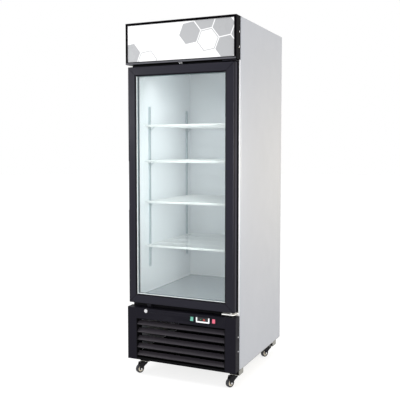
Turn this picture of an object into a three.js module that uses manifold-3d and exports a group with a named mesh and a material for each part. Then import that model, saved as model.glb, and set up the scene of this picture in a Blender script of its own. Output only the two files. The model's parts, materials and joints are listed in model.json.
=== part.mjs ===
// A single-door reach-in merchandiser refrigerator on four casters.
// Millimetres, +Z up, +Y towards the back, +X to the right seen from the front.
// The origin is on the floor under the middle of the cabinet.
import * as THREE from "three";
import { mergeVertices } from "three/addons/utils/BufferGeometryUtils.js";
import Module from "manifold-3d";

const wasm = await Module();
wasm.setup();

// ---------- driving dimensions ----------
const halfWidth = 343;
const faceY = -396; // front plane of the header, the door and the base
const backY = 400;
const topZ = 2054;
const baseZ = 100; // underside of the base panel
const gap = 0.3; // clearance between touching pieces
const sheet = 1.2;

const frontDepth = 62; // depth of the header and of the base in front of the cabinet
const frontFrameThickness = 3.7;
const cabinetFront = faceY + frontDepth + frontFrameThickness + gap;
const foamBottomZ = 428;
const panelRoll = { width: 8, depth: 30 }; // rounded front edge of each side panel
const panelFlange = { front: 28, back: 18 };
const guardSlots = { rows: 9, firstZ: 160, pitch: 26, height: 9, halfLength: 110, columnX: 165 };
const inletAt = [-300, 132];
const channel = { wall: 2, front: 25.7, back: 38, near: 19, far: 44, leftNear: 15 };

const room = {
  halfWidth: 293,
  back: faceY + 755,
  floor: 471,
  ceiling: 1990,
  lintelZ: 1775,
  lintelBack: -282,
};
const linerThickness = 2.2;

const door = { halfWidth: 332, bottom: 436, top: 1807, rail: 55, depth: 40, cornerRadius: 10 };
const glass = { overlap: 10, thickness: 4, frontY: faceY + 8, rearY: faceY + 25, spacerWidth: 12 };
const gasket = { outer: 312, inner: 293, bottom: 452, top: 1791, width: 19 };
const hinge = { x: 310, y: faceY + 20, pinRadius: 5, pinReach: 13 };

const header = { bottom: 1820, wall: 2.5, windowHalfWidth: 329, windowBottom: 1834, windowTop: 2040 };
const base = { top: 409, fasciaBottom: 346, seamX: 281.5, wall: 2.5, cornerRadius: 7 };
const louvre = { count: 5, pitch: 45.7, firstBottom: 306.8, rise: 21, run: 28, blade: 2.5, bottomLip: 115 };

const shelfHeights = [1477, 1266, 1024, 760];
const shelf = { halfWidth: 280, frontHalf: 290, front: faceY + 126, back: faceY + 735, rim: 6, wire: 3.6, wires: 27 };
const pilaster = { width: 14, depth: 10, bottom: 625, top: 1590, frontY: faceY + 180, rearY: faceY + 690 };

const clip = { reach: 20, halfWidth: 40, drop: 25, lip: 3 };

const lock = { x: -216.5, z: 395, plugRadius: 5.7, boreRadius: 6, bodyRadius: 8.5, flangeRadius: 10.5 };
const camLength = 36;
const switchZ = 380;
const rocker = { greenX: 79, redX: 213, halfWidth: 9, halfHeight: 11.6, pivotDepth: 5, tilt: 8 };
const controller = { x: 147, halfWidth: 42, halfHeight: 16, bodyHalfWidth: 39, bodyHalfHeight: 14 };

const evaporator = { halfWidth: 262, front: -240, back: 330, bottom: 1852, fanRadius: 90, fanY: -40 };
const machineFloor = baseZ + 1;
const condenserFan = { x: 111, y: faceY + 170, z: 252, radius: 112 };
const fingerPull = { low: 974, high: 1267, deep: 6, backY: faceY + 20, wall: 2.2 };

const caster = { wheelRadius: 25, wheelWidth: 20, bore: 4.3, axle: 4, trailX: -15, trailY: -30, plateZ: 71 };
const casterStems = {
  front_left: [-278, faceY + 88],
  front_right: [303, faceY + 88],
  rear_left: [-278, faceY + 680],
  rear_right: [303, faceY + 680],
};

// ---------- solids ----------
function toManifold(geometry) {
  const bare = geometry.index ? geometry.toNonIndexed() : geometry.clone();
  bare.deleteAttribute("normal");
  bare.deleteAttribute("uv");
  const merged = mergeVertices(bare, 1e-4);
  return new wasm.Manifold(
    new wasm.Mesh({
      numProp: 3,
      vertProperties: new Float32Array(merged.attributes.position.array),
      triVerts: new Uint32Array(merged.index.array),
    }),
  );
}

function toGeometry(manifold) {
  const mesh = manifold.getMesh();
  const geometry = new THREE.BufferGeometry();
  geometry.setAttribute("position", new THREE.BufferAttribute(new Float32Array(mesh.vertProperties), 3));
  geometry.setIndex(new THREE.BufferAttribute(new Uint32Array(mesh.triVerts), 1));
  const flat = geometry.toNonIndexed();
  flat.computeVertexNormals();
  return flat;
}

function join(...geometries) {
  return toGeometry(geometries.map(toManifold).reduce((sum, solid) => sum.add(solid)));
}

function cut(geometry, ...tools) {
  return toGeometry(tools.map(toManifold).reduce((rest, tool) => rest.subtract(tool), toManifold(geometry)));
}

function overlap(geometry, other) {
  return toGeometry(toManifold(geometry).intersect(toManifold(other)));
}

// A block between two opposite corners.
function block(x0, x1, y0, y1, z0, z1) {
  const geometry = new THREE.BoxGeometry(x1 - x0, y1 - y0, z1 - z0);
  return geometry.translate((x0 + x1) / 2, (y0 + y1) / 2, (z0 + z1) / 2);
}

function shapeOf(points) {
  return new THREE.Shape(points.map(([a, b]) => new THREE.Vector2(a, b)));
}

// A plan outline in X and Y, raised from z0 to z1.
function raised(points, z0, z1, holes = []) {
  const shape = shapeOf(points);
  holes.forEach((hole) => shape.holes.push(new THREE.Path(shapeOf(hole).getPoints())));
  return new THREE.ExtrudeGeometry(shape, { depth: z1 - z0, bevelEnabled: false }).translate(0, 0, z0);
}

// A side outline in Y and Z, carried from x0 to x1.
function carriedX(points, x0, x1) {
  const geometry = raised(points, 0, x1 - x0);
  geometry.applyMatrix4(new THREE.Matrix4().set(0, 0, 1, x0, 1, 0, 0, 0, 0, 1, 0, 0, 0, 0, 0, 1));
  return geometry;
}

// A front outline in X and Z, carried from y0 back to y1.
function carriedY(points, y0, y1, holes = []) {
  const geometry = raised(points, 0, y1 - y0, holes);
  geometry.applyMatrix4(new THREE.Matrix4().set(1, 0, 0, 0, 0, 0, -1, y1, 0, 1, 0, 0, 0, 0, 0, 1));
  return geometry;
}

function rectangle(a0, a1, b0, b1) {
  return [[a0, b0], [a1, b0], [a1, b1], [a0, b1]];
}

// A cylinder along X, Y or Z between two stations.
function rod(axis, radius, [a, b], from, to, sides = 24) {
  const geometry = new THREE.CylinderGeometry(radius, radius, to - from, sides);
  const middle = (from + to) / 2;
  if (axis === "x") return geometry.rotateZ(Math.PI / 2).translate(middle, a, b);
  if (axis === "y") return geometry.translate(a, middle, b);
  return geometry.rotateX(Math.PI / 2).translate(a, b, middle);
}

// A ring turned about Z from a closed profile of [radius, height] points.
function turned(profile, segments = 32) {
  const closed = [...profile, profile[0]].map(([r, z]) => new THREE.Vector2(r, z));
  return new THREE.LatheGeometry(closed, segments).rotateX(Math.PI / 2);
}

// A folded sheet: the open line of [a, b] points, thickened to its left.
function foldedSheet(line, thickness) {
  const offsets = line.map((point, i) => {
    const here = new THREE.Vector2(...point);
    const before = i > 0 ? here.clone().sub(new THREE.Vector2(...line[i - 1])).normalize() : null;
    const after = i < line.length - 1 ? new THREE.Vector2(...line[i + 1]).sub(here).normalize() : null;
    const first = before ?? after;
    const second = after ?? before;
    const normal = new THREE.Vector2(-first.y - second.y, first.x + second.x).normalize();
    const stretch = thickness / normal.dot(new THREE.Vector2(-first.y, first.x));
    return [here.x + normal.x * stretch, here.y + normal.y * stretch];
  });
  return [...line, ...offsets.reverse()];
}

// Points of a quarter ellipse from angle a to angle b, in degrees.
function arc(cx, cy, rx, ry, a, b, steps) {
  return Array.from({ length: steps + 1 }, (_, i) => {
    const angle = THREE.MathUtils.degToRad(a + ((b - a) * i) / steps);
    return [cx + rx * Math.cos(angle), cy + ry * Math.sin(angle)];
  });
}

// The mirror image about the YZ plane, with its faces turned to point out again.
function mirrored(geometry) {
  geometry.applyMatrix4(new THREE.Matrix4().makeScale(-1, 1, 1));
  const { array } = geometry.getAttribute("position");
  for (let i = 0; i < array.length; i += 9) {
    const second = array.slice(i + 3, i + 6);
    array.copyWithin(i + 3, i + 6, i + 9);
    array.set(second, i + 6);
  }
  geometry.computeVertexNormals();
  return geometry;
}

// ---------- colours ----------
const finishes = {
  whitePanel: [0xd5d8dc, 0.45, 0.1],
  whiteLiner: [0xe3e9ec, 0.5, 0],
  galvanised: [0xb9bcc0, 0.4, 0.8],
  blackSatin: [0x26252b, 0.45, 0],
  doorBlack: [0x37363d, 0.4, 0.2],
  rubberBlack: [0x1b1b1e, 0.8, 0],
  clearGlass: [0xd6ece6, 0.05, 0],
  signWhite: [0xf6f7f8, 0.35, 0],
  chrome: [0xe6e7ea, 0.15, 1],
  shelfWhite: [0xf2f6f8, 0.4, 0],
  foam: [0xd9cfa8, 0.9, 0],
  copper: [0xb87346, 0.35, 0.9],
  compressorBlack: [0x151517, 0.5, 0.3],
  green: [0x86d4bf, 0.35, 0],
  red: [0xff7f9a, 0.35, 0],
  wheelGrey: [0x2b2b2e, 0.6, 0],
  lampWhite: [0xffffff, 0.4, 0],
};

const fridge = new THREE.Group();
fridge.name = "reach_in_refrigerator";

function place(parent, name, geometry, finish) {
  const [color, roughness, metalness] = finishes[finish];
  const mesh = new THREE.Mesh(geometry, new THREE.MeshStandardMaterial({ color, roughness, metalness }));
  mesh.name = name;
  parent.add(mesh);
  return mesh;
}

// ---------- cabinet shell ----------
function sidePanel() {
  const { width, depth } = panelRoll;
  const outer = [
    [halfWidth - width - panelFlange.front, cabinetFront],
    [halfWidth - width, cabinetFront],
    ...arc(halfWidth - width, cabinetFront + depth, width, depth, -75, 0, 5),
    [halfWidth, backY],
    [halfWidth - panelFlange.back, backY],
  ];
  return raised(foldedSheet(outer, sheet), baseZ + 1, topZ - sheet - gap);
}

function topPanel() {
  return block(-halfWidth, halfWidth, cabinetFront, backY, topZ - sheet, topZ);
}

const innerHalf = halfWidth - sheet - gap; // half of the clear width between the side panels
const backSkin = backY - sheet - gap; // rear face of the skins held by the back flanges

function backPanel() {
  return block(-innerHalf, innerHalf, backSkin - sheet, backSkin, foamBottomZ + 12, topZ - sheet - gap * 2);
}

// The machine compartment's rear guard, with rows of air slots in two columns.
function rearGuard() {
  const { rows, firstZ, pitch, height, halfLength, columnX } = guardSlots;
  const through = [backSkin - 10, backSkin + 10];
  const slots = [];
  for (const middle of [-columnX, columnX])
    for (let row = 0; row < rows; row += 1) {
      const z = firstZ + row * pitch;
      slots.push(block(middle - halfLength, middle + halfLength, ...through, z, z + height));
    }
  const panel = block(-innerHalf, innerHalf, backSkin - sheet, backSkin, baseZ + 6, foamBottomZ + 11.7);
  return cut(panel, ...slots, rod("y", 14, inletAt, ...through));
}

// The chassis plate that the side panels stand on, with four welded channels for the casters.
function chassis() {
  const { wall } = channel;
  const plateTop = machineFloor - gap;
  const plateBottom = plateTop - 2.2;
  const side = halfWidth - 0.5;
  const plate = block(-side, side, faceY + frontDepth + gap, backY - 1, plateBottom, plateTop);
  const channels = Object.values(casterStems).map(([x, y]) => {
    const [x0, x1] = x > 0 ? [x - channel.near, side] : [x - channel.leftNear, x + channel.far];
    const [y0, y1] = [y - channel.front, y + channel.back];
    const shell = block(x0, x1, y0, y1, caster.plateZ, plateBottom + 0.5);
    const hollow = [y0 - 5, y1 + 5, caster.plateZ + wall, plateBottom - wall];
    return cut(shell, block(x0 + wall, x1 - wall, ...hollow));
  });
  return join(plate, ...channels);
}

// Rigid foam that fills the walls, the floor, the roof and the lintel over the doorway.
function insulation() {
  const skin = linerThickness + gap * 2;
  const back = backSkin - sheet - gap;
  const roof = topZ - sheet - gap * 2;
  const outer = block(-innerHalf, innerHalf, cabinetFront + sheet + gap, back, foamBottomZ, roof);
  const half = room.halfWidth + skin;
  const floor = room.floor - skin;
  const cavity = block(-half, half, room.lintelBack - skin, room.back + skin, floor, room.ceiling + skin);
  const doorway = block(-half, half, faceY, 0, floor, room.lintelZ + skin);
  const besideSides = (inward, y0, y1) => [
    block(innerHalf - inward, innerHalf + 1, y0, y1, 0, topZ),
    block(-innerHalf - 1, -innerHalf + inward, y0, y1, 0, topZ),
  ];
  const flangeRoom = besideSides(panelFlange.back + 2, backSkin - 6, backY);
  const rollRoom = besideSides(panelRoll.width + 1, faceY, cabinetFront + panelRoll.depth + 4);
  return cut(outer, cavity, doorway, ...flangeRoom, ...rollRoom);
}

// The one-piece inner lining: walls, floor, roof and the back of the lintel.
function liner() {
  const t = linerThickness;
  const { halfWidth: half, back, floor, ceiling, lintelZ, lintelBack } = room;
  const outer = join(
    block(-half - t, half + t, lintelBack - t, back + t, floor - t, ceiling + t),
    block(-half - t, half + t, cabinetFront, 0, floor - t, lintelZ + t),
  );
  const inside = block(-half, half, lintelBack, back, floor, ceiling);
  return cut(outer, inside, block(-half, half, faceY, 0, floor, lintelZ));
}

// The black breaker frame on the cabinet's front, around the doorway.
function frontFrame() {
  const half = room.halfWidth;
  const doorway = rectangle(-half, half, room.floor, room.lintelZ);
  const outline = rectangle(-halfWidth + 9, halfWidth - 9, base.top - 12, topZ - sheet);
  return carriedY(outline, faceY + frontDepth + gap, cabinetFront - gap, [doorway]);
}

const cabinet = new THREE.Group();
fridge.add(cabinet);
place(cabinet, "side_panel_left", mirrored(sidePanel()), "whitePanel");
place(cabinet, "side_panel_right", sidePanel(), "whitePanel");
place(cabinet, "back_panel", backPanel(), "galvanised");
place(cabinet, "rear_guard", rearGuard(), "galvanised");
place(cabinet, "top_panel", topPanel(), "whitePanel");
place(cabinet, "chassis", chassis(), "galvanised");
place(cabinet, "insulation_foam", insulation(), "foam");
place(cabinet, "liner", liner(), "whiteLiner");
place(cabinet, "front_frame", frontFrame(), "blackSatin");

// ---------- shelves ----------
// The right-hand slotted standard, with its four hooked shelf clips.
function pilasterWithClips(y) {
  const wallX = room.halfWidth - gap;
  const half = pilaster.width / 2;
  const frontX = wallX - pilaster.depth;
  const standard = block(frontX, wallX, y - half, y + half, pilaster.bottom, pilaster.top);
  const clips = shelfHeights.map((z) => {
    const top = z - shelf.rim / 2 - gap;
    const low = top - clip.lip;
    const [near, far] = [y - clip.halfWidth, y + clip.halfWidth];
    const wedge = [[near, top], [near, low], [y, top - clip.drop], [far, low], [far, top]];
    return carriedX(wedge, wallX - clip.reach, frontX + 1);
  });
  return join(standard, ...clips);
}

// A welded wire shelf: a square rim, a longer front rod, two cross bars and front-to-back wires.
function wireShelf(z) {
  const { halfWidth: half, frontHalf, front, back, rim, wire, wires } = shelf;
  const low = z - rim / 2;
  const high = z + rim / 2;
  const frame = cut(
    block(-half, half, front, back, low, high),
    block(-half + rim, half - rim, front + rim, back - rim, low - 1, high + 1),
  );
  const frontRod = block(-frontHalf, frontHalf, front - rim / 2, front + rim / 2, low, high);
  const crossBars = [1, 2].map((i) => {
    const y = front + ((back - front) * i) / 3;
    return block(-half + 1, half - 1, y - 2.5, y + 2.5, low + 0.1, low + 2.5);
  });
  const pitch = (2 * half) / (wires + 1);
  const rods = Array.from({ length: wires }, (_, i) => {
    const x = -half + pitch * (i + 1);
    return block(x - wire / 2, x + wire / 2, front + 1, back - 1, low + 2, high - 0.2);
  });
  return join(frame, frontRod, ...crossBars, ...rods);
}

for (const [end, y] of [["front", pilaster.frontY], ["rear", pilaster.rearY]]) {
  place(cabinet, `pilaster_${end}_left`, mirrored(pilasterWithClips(y)), "whiteLiner");
  place(cabinet, `pilaster_${end}_right`, pilasterWithClips(y), "whiteLiner");
}
shelfHeights.forEach((z, i) => place(cabinet, `shelf_${i + 1}`, wireShelf(z), "shelfWhite"));

// ---------- cooling, above the shelves ----------
// A tray under the roof that hides the coil, with a round fan opening and a motor on a bridge.
function evaporatorHousing() {
  const { halfWidth: half, front, back, bottom, fanRadius, fanY } = evaporator;
  const top = room.ceiling - gap;
  const tray = cut(
    block(-half, half, front, back, bottom, top),
    block(-half + 2, half - 2, front + 2, back - 2, bottom + 2, top + 1),
    rod("z", fanRadius + 4, [0, fanY], bottom - 5, bottom + 5, 40),
    block(-half + 40, half - 40, back - 90, back - 30, bottom - 5, bottom + 5),
  );
  const bridge = block(-fanRadius - 20, fanRadius + 20, fanY - 12, fanY + 12, bottom + 52, bottom + 55);
  const legs = [-108, 108].map((x) => block(x - 2, x + 2, fanY - 12, fanY + 12, bottom + 1, bottom + 54));
  const motor = rod("z", 32, [0, fanY], bottom + 25, bottom + 53, 24);
  return join(tray, bridge, ...legs, motor);
}

// Fan with a hub and pitched blades, about an axis through the origin along Z.
function fanWheel(radius, hubRadius, hubHeight, blades) {
  const hub = rod("z", hubRadius, [0, 0], -hubHeight / 2, hubHeight / 2, 20);
  const vanes = Array.from({ length: blades }, (_, i) => {
    const vane = block(-radius * 0.26, radius * 0.26, hubRadius - 4, radius, -0.8, 0.8);
    return vane.rotateY(THREE.MathUtils.degToRad(24)).rotateZ((i * 2 * Math.PI) / blades);
  });
  return overlap(join(hub, ...vanes), rod("z", radius, [0, 0], -60, 60, 48));
}

// A finned coil: upright fins on level tubes, between two corners.
function finnedCoil([x0, x1, y0, y1, z0, z1], fins, tubes) {
  const pitch = (x1 - x0 - 2) / (fins - 1);
  const plates = Array.from({ length: fins }, (_, i) => {
    const x = x0 + i * pitch;
    return block(x, x + 2, y0, y1, z0, z1);
  });
  const rise = (z1 - z0) / tubes;
  const runs = Array.from({ length: tubes }, (_, i) => {
    const z = z0 + rise * (i + 0.5);
    return block(x0 + 0.5, x1 - 0.5, (y0 + y1) / 2 - 5, (y0 + y1) / 2 + 5, z - 5, z + 5);
  });
  return join(...plates, ...runs);
}

place(cabinet, "evaporator_housing", evaporatorHousing(), "whiteLiner");
const coilBox = [-235, 235, 120, 228, evaporator.bottom + 12, room.ceiling - 12];
place(cabinet, "evaporator_coil", finnedCoil(coilBox, 10, 3), "galvanised");
const evaporatorFan = fanWheel(evaporator.fanRadius, 26, 16, 5);
evaporatorFan.translate(0, evaporator.fanY, evaporator.bottom + 12);
place(fridge, "evaporator_fan", evaporatorFan, "blackSatin");
const lampY = room.lintelBack + gap;
place(cabinet, "interior_lamp", block(-250, 250, lampY, lampY + 24, 1800, 1824), "lampWhite");

// ---------- header ----------
function headerFrame() {
  const { bottom, wall, windowHalfWidth, windowBottom, windowTop } = header;
  const back = faceY + frontDepth;
  return cut(
    block(-halfWidth, halfWidth, faceY, back, bottom, topZ),
    block(-halfWidth + wall, halfWidth - wall, faceY + wall, back + 1, bottom + wall, topZ - wall),
    block(-windowHalfWidth, windowHalfWidth, faceY - 1, faceY + 10, windowBottom, windowTop),
  );
}

place(cabinet, "header_frame", headerFrame(), "blackSatin");
const signFace = faceY + header.wall + gap;
const signEdge = 7;
const signPanel = block(
  -header.windowHalfWidth - signEdge,
  header.windowHalfWidth + signEdge,
  signFace,
  signFace + 3,
  header.windowBottom - signEdge,
  header.windowTop + signEdge,
);
place(cabinet, "sign_panel", signPanel, "signWhite");
place(cabinet, "sign_lamp", block(-300, 300, faceY + 40, faceY + 58, 1925, 1950), "lampWhite");
const catchBase = rod("z", 18, [-4, faceY + 34], header.bottom - 4.3, header.bottom - gap, 28);
place(cabinet, "sign_catch", catchBase, "chrome");

// ---------- base ----------
// The right-hand corner post: a folded skin around the corner, closed by a flat cap.
function baseCorner() {
  const { wall, cornerRadius: r, top, seamX } = base;
  const back = faceY + frontDepth;
  const line = [[seamX + gap, faceY], ...arc(halfWidth - r, faceY + r, r, r, -90, 0, 5), [halfWidth, back]];
  const skin = raised(foldedSheet(line, wall), baseZ, top);
  const cap = block(seamX + gap, halfWidth - wall + 0.5, faceY + wall - 0.5, back, top - wall, top);
  return join(skin, cap);
}

// Control strip with its top flange, and its openings for the lock, the switches and the display.
function fascia() {
  const { wall, top, fasciaBottom, seamX } = base;
  const strip = block(-seamX, seamX, faceY, faceY + wall, fasciaBottom + gap, top);
  const flange = block(-seamX, seamX, faceY, faceY + frontDepth, top - wall, top);
  const through = [faceY - 1, faceY + 10];
  const openings = [rocker.greenX, rocker.redX].map((x) =>
    block(x - 11.3, x + 11.3, ...through, switchZ - 14.3, switchZ + 14.3),
  );
  const bodyX = controller.bodyHalfWidth + gap;
  const bodyZ = controller.bodyHalfHeight + gap;
  openings.push(block(controller.x - bodyX, controller.x + bodyX, ...through, switchZ - bodyZ, switchZ + bodyZ));
  openings.push(rod("y", lock.bodyRadius + gap, [lock.x, lock.z], ...through));
  openings.push(block(lock.x - 9, lock.x + 42, faceY + 25.5, faceY + 32, top - 10, top + 1));
  return cut(join(strip, flange), ...openings);
}

// Louvred air intake: a frame, two cheeks and five sloping blades.
function louvreGrille() {
  const { count, pitch, firstBottom, rise, run, blade, bottomLip } = louvre;
  const { wall, fasciaBottom, seamX } = base;
  const opening = { half: seamX - 3.5, top: fasciaBottom - 2 };
  const frame = cut(
    block(-seamX, seamX, faceY, faceY + wall, baseZ, fasciaBottom),
    block(-opening.half, opening.half, faceY - 1, faceY + 10, bottomLip, opening.top),
  );
  const foot = block(-seamX, seamX, faceY + 1, faceY + frontDepth, baseZ, baseZ + wall);
  const cheeks = [-1, 1].map((s) => {
    const x = s * (seamX - 1.25);
    return block(x - 1.25, x + 1.25, faceY + 1, faceY + 32, baseZ + 1, fasciaBottom - 0.5);
  });
  const blades = Array.from({ length: count }, (_, i) => {
    const z = firstBottom - i * pitch;
    const profile = [
      [faceY + 0.8, z],
      [faceY + 0.8 + blade, z],
      [faceY + run + blade, z + rise],
      [faceY + run + blade, z + rise + blade],
      [faceY + run, z + rise + blade],
      [faceY + 0.8, z + blade * 1.4],
    ];
    return carriedX(profile, -seamX + 1, seamX - 1);
  });
  return join(frame, foot, ...cheeks, ...blades);
}

place(cabinet, "base_corner_left", mirrored(baseCorner()), "blackSatin");
place(cabinet, "base_corner_right", baseCorner(), "blackSatin");
place(cabinet, "base_fascia", fascia(), "blackSatin");
place(cabinet, "louvre_grille", louvreGrille(), "blackSatin");

// ---------- lock ----------
const barrelProfile = [
  [lock.boreRadius, 0],
  [lock.flangeRadius, 0],
  [lock.flangeRadius, 3.5],
  [lock.bodyRadius, 3.7],
  [lock.bodyRadius, 24],
  [lock.boreRadius, 24],
];
const barrel = turned(barrelProfile, 24).rotateX(-Math.PI / 2).translate(lock.x, faceY - 4, lock.z);
place(cabinet, "lock_barrel", barrel, "chrome");
const keyway = block(lock.x - 0.8, lock.x + 0.8, faceY - 8, faceY + 4, lock.z - 3.5, lock.z + 3.5);
const plug = cut(rod("y", lock.plugRadius, [lock.x, lock.z], faceY - 3.6, faceY + 28, 28), keyway);
const cam = block(lock.x - 6, lock.x + camLength, faceY + 27, faceY + 30.5, lock.z - 6, lock.z + 6);
place(fridge, "lock_plug", join(plug, cam), "chrome");

// ---------- switches and controller ----------
function switchHousing(x) {
  const flange = block(x - 12.5, x + 12.5, faceY - 1.8, faceY - gap, switchZ - 15.5, switchZ + 15.5);
  const body = block(x - 11, x + 11, faceY - 1, faceY + 20, switchZ - 14, switchZ + 14);
  const well = block(x - 9.5, x + 9.5, faceY - 5, faceY + 17, switchZ - 12.9, switchZ + 12.9);
  return cut(join(flange, body), well);
}

// A rocker at rest with its top half pressed in and its bottom half standing proud.
function rockerCap(x) {
  const { halfWidth: half, halfHeight, pivotDepth, tilt } = rocker;
  const profile = [
    [-2.2, -halfHeight],
    [9, -7],
    [9, 7],
    [-2.2, halfHeight],
    [-0.4, 0],
  ].map(([y, z]) => [y - pivotDepth, z]);
  const cap = carriedX(profile, -half, half).rotateX(THREE.MathUtils.degToRad(-tilt));
  return cap.translate(x, faceY + pivotDepth, switchZ);
}

place(cabinet, "power_switch_housing", switchHousing(rocker.greenX), "blackSatin");
place(cabinet, "lamp_switch_housing", switchHousing(rocker.redX), "blackSatin");
place(fridge, "power_rocker", rockerCap(rocker.greenX), "green");
place(fridge, "lamp_rocker", rockerCap(rocker.redX), "red");

const controllerFlange = block(
  controller.x - controller.halfWidth,
  controller.x + controller.halfWidth,
  faceY - 2.5,
  faceY - gap,
  switchZ - controller.halfHeight,
  switchZ + controller.halfHeight,
);
const controllerDepth = [faceY - 1, faceY + 46];
const controllerBody = block(
  controller.x - controller.bodyHalfWidth,
  controller.x + controller.bodyHalfWidth,
  ...controllerDepth,
  switchZ - controller.bodyHalfHeight,
  switchZ + controller.bodyHalfHeight,
);
place(cabinet, "controller", join(controllerFlange, controllerBody), "blackSatin");

// ---------- machine compartment ----------
// A hermetic compressor: a domed shell on two feet rails, with its terminal box.
function compressor() {
  const profile = [[0, 0], [70, 0], [84, 14], [88, 60], [88, 110], [76, 150], [50, 172], [0, 180]];
  const shell = new THREE.LatheGeometry(
    profile.map(([r, z]) => new THREE.Vector2(r, z)),
    28,
  ).rotateX(Math.PI / 2);
  const rails = [-1, 1].map((s) => block(-115, 115, s * 62 - 16, s * 62 + 16, -14, 6));
  const box = block(70, 112, -28, 28, 40, 110);
  return join(shell, ...rails, box).translate(-150, 235, machineFloor + 14);
}

const condenserBox = [-40, 262, faceY + 74, faceY + 128, machineFloor, 404];

// The plate behind the coil that guides the air through the fan, with the motor on a cross bar.
function fanShroud() {
  const { x, y, z, radius } = condenserFan;
  const front = faceY + 129;
  const plate = block(x - 148, x + 148, front, front + 2, machineFloor, 404);
  const collar = rod("y", radius + 8, [x, z], front + 1, y + 18, 40);
  const throat = rod("y", radius + 6, [x, z], front - 5, y + 30, 40);
  const bar = block(x - radius - 7, x + radius + 7, y + 12, y + 18, z - 9, z + 9);
  const motor = rod("y", 36, [x, z], y + 13, y + 70, 24);
  return join(cut(join(plate, collar), throat), bar, motor);
}

place(cabinet, "compressor", compressor(), "compressorBlack");
place(cabinet, "condenser_coil", finnedCoil(condenserBox, 13, 3), "copper");
place(cabinet, "fan_shroud", fanShroud(), "galvanised");
const coolingFan = fanWheel(condenserFan.radius, 26, 18, 5);
coolingFan.rotateX(Math.PI / 2).translate(condenserFan.x, condenserFan.y - 6, condenserFan.z);
place(fridge, "condenser_fan", coolingFan, "blackSatin");
const panOuter = block(20, 300, 170, 340, machineFloor, machineFloor + 45);
const pan = cut(panOuter, block(22, 298, 172, 338, machineFloor + 2, machineFloor + 60));
place(cabinet, "condensate_pan", pan, "blackSatin");
const inlet = join(
  rod("y", 13.6, inletAt, backSkin - 20, backY - 0.2),
  rod("y", 18, inletAt, backSkin - 6, backSkin - sheet - gap),
);
place(cabinet, "cord_inlet", cut(inlet, rod("y", 5, inletAt, backSkin - 14, backY + 2, 16)), "rubberBlack");

// ---------- door ----------
const doorGroup = new THREE.Group();
fridge.add(doorGroup);

// The rail's section: [distance in from the door's edge, depth behind its face].
function railSection() {
  const { rail, depth, cornerRadius: r } = door;
  const pocketFront = glass.frontY - faceY - gap;
  const pocketBack = glass.rearY - faceY + glass.thickness + gap;
  const pocketFloor = rail - glass.overlap - 2;
  const outer = [
    ...arc(r, r, r, r, 180, 270, 5),
    [rail - 8, 0],
    [rail, 7],
    [rail, pocketFront],
    [pocketFloor, pocketFront],
    [pocketFloor, pocketBack],
    [rail, pocketBack],
    [rail, depth],
    [0, depth],
  ];
  const hollow = [[3.5, 11], [11, 3], [40, 3], [40, 37], [3.5, 37]];
  return { outer, hollow };
}

// One mitred frame member. The section is laid along +X at the door's lower edge, then turned into place.
function frameMember(length) {
  const { outer, hollow } = railSection();
  const toSide = ([inward, depth]) => [faceY + depth, inward];
  const bar = carriedX(outer.map(toSide).reverse(), -length / 2, length / 2);
  const bore = carriedX(hollow.map(toSide).reverse(), -length, length);
  const mitre = gap / 2;
  const trapezium = carriedY(
    [
      [-length / 2 + mitre, -1],
      [length / 2 - mitre, -1],
      [length / 2 - mitre - 100, 99],
      [-length / 2 + mitre + 100, 99],
    ],
    faceY - 5,
    faceY + 60,
  );
  return overlap(cut(bar, bore), trapezium);
}

const doorWidth = door.halfWidth * 2;
const doorHeight = door.top - door.bottom;
const doorMiddle = (door.top + door.bottom) / 2;

// The free stile, with the finger pull: a lined recess in its outer edge.
function freeStile() {
  const { low, high, deep, backY: pullBack, wall } = fingerPull;
  const stile = frameMember(doorHeight).rotateY(Math.PI / 2).translate(-door.halfWidth, 0, doorMiddle);
  const x = -door.halfWidth;
  const outline = [[x - 1, low], [x + deep, low + deep], [x + deep, high], [x - 1, high]];
  const recess = carriedY(outline, faceY - 1, pullBack);
  const around = carriedY(outline, faceY - 1, pullBack + 0.1).translate(wall, 0, 0);
  const within = block(x, x + door.rail, faceY + 0.5, pullBack + wall, low - 74, high + 33);
  return cut(join(stile, overlap(cut(around, recess), within)), recess);
}

const pinAt = [hinge.x, hinge.y];
const pinHole = (z) => rod("z", hinge.pinRadius + 0.4, pinAt, z - 20, z + 20);
// A tab hangs under the free end of the bottom rail, and the raised lock cam stands in front of it.
const strike = block(lock.x - 13, lock.x + 13, faceY + 34, faceY + 37, base.top + 4, door.bottom + 2);
const bottomRail = join(frameMember(doorWidth).translate(0, 0, door.bottom), strike);
const topRail = frameMember(doorWidth).rotateY(Math.PI).translate(0, 0, door.top);
const hingeStile = frameMember(doorHeight).rotateY(-Math.PI / 2).translate(door.halfWidth, 0, doorMiddle);
place(doorGroup, "door_rail_bottom", cut(bottomRail, pinHole(door.bottom)), "doorBlack");
place(doorGroup, "door_rail_top", cut(topRail, pinHole(door.top)), "doorBlack");
place(doorGroup, "door_stile_left", freeStile(), "doorBlack");
place(doorGroup, "door_stile_right", hingeStile, "doorBlack");

const paneX = door.halfWidth - door.rail + glass.overlap;
const paneBottom = door.bottom + door.rail - glass.overlap;
const paneTop = door.top - door.rail + glass.overlap;
function pane(y) {
  return block(-paneX, paneX, y, y + glass.thickness, paneBottom, paneTop);
}
place(doorGroup, "glass_front", pane(glass.frontY), "clearGlass");
place(doorGroup, "glass_rear", pane(glass.rearY), "clearGlass");

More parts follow.
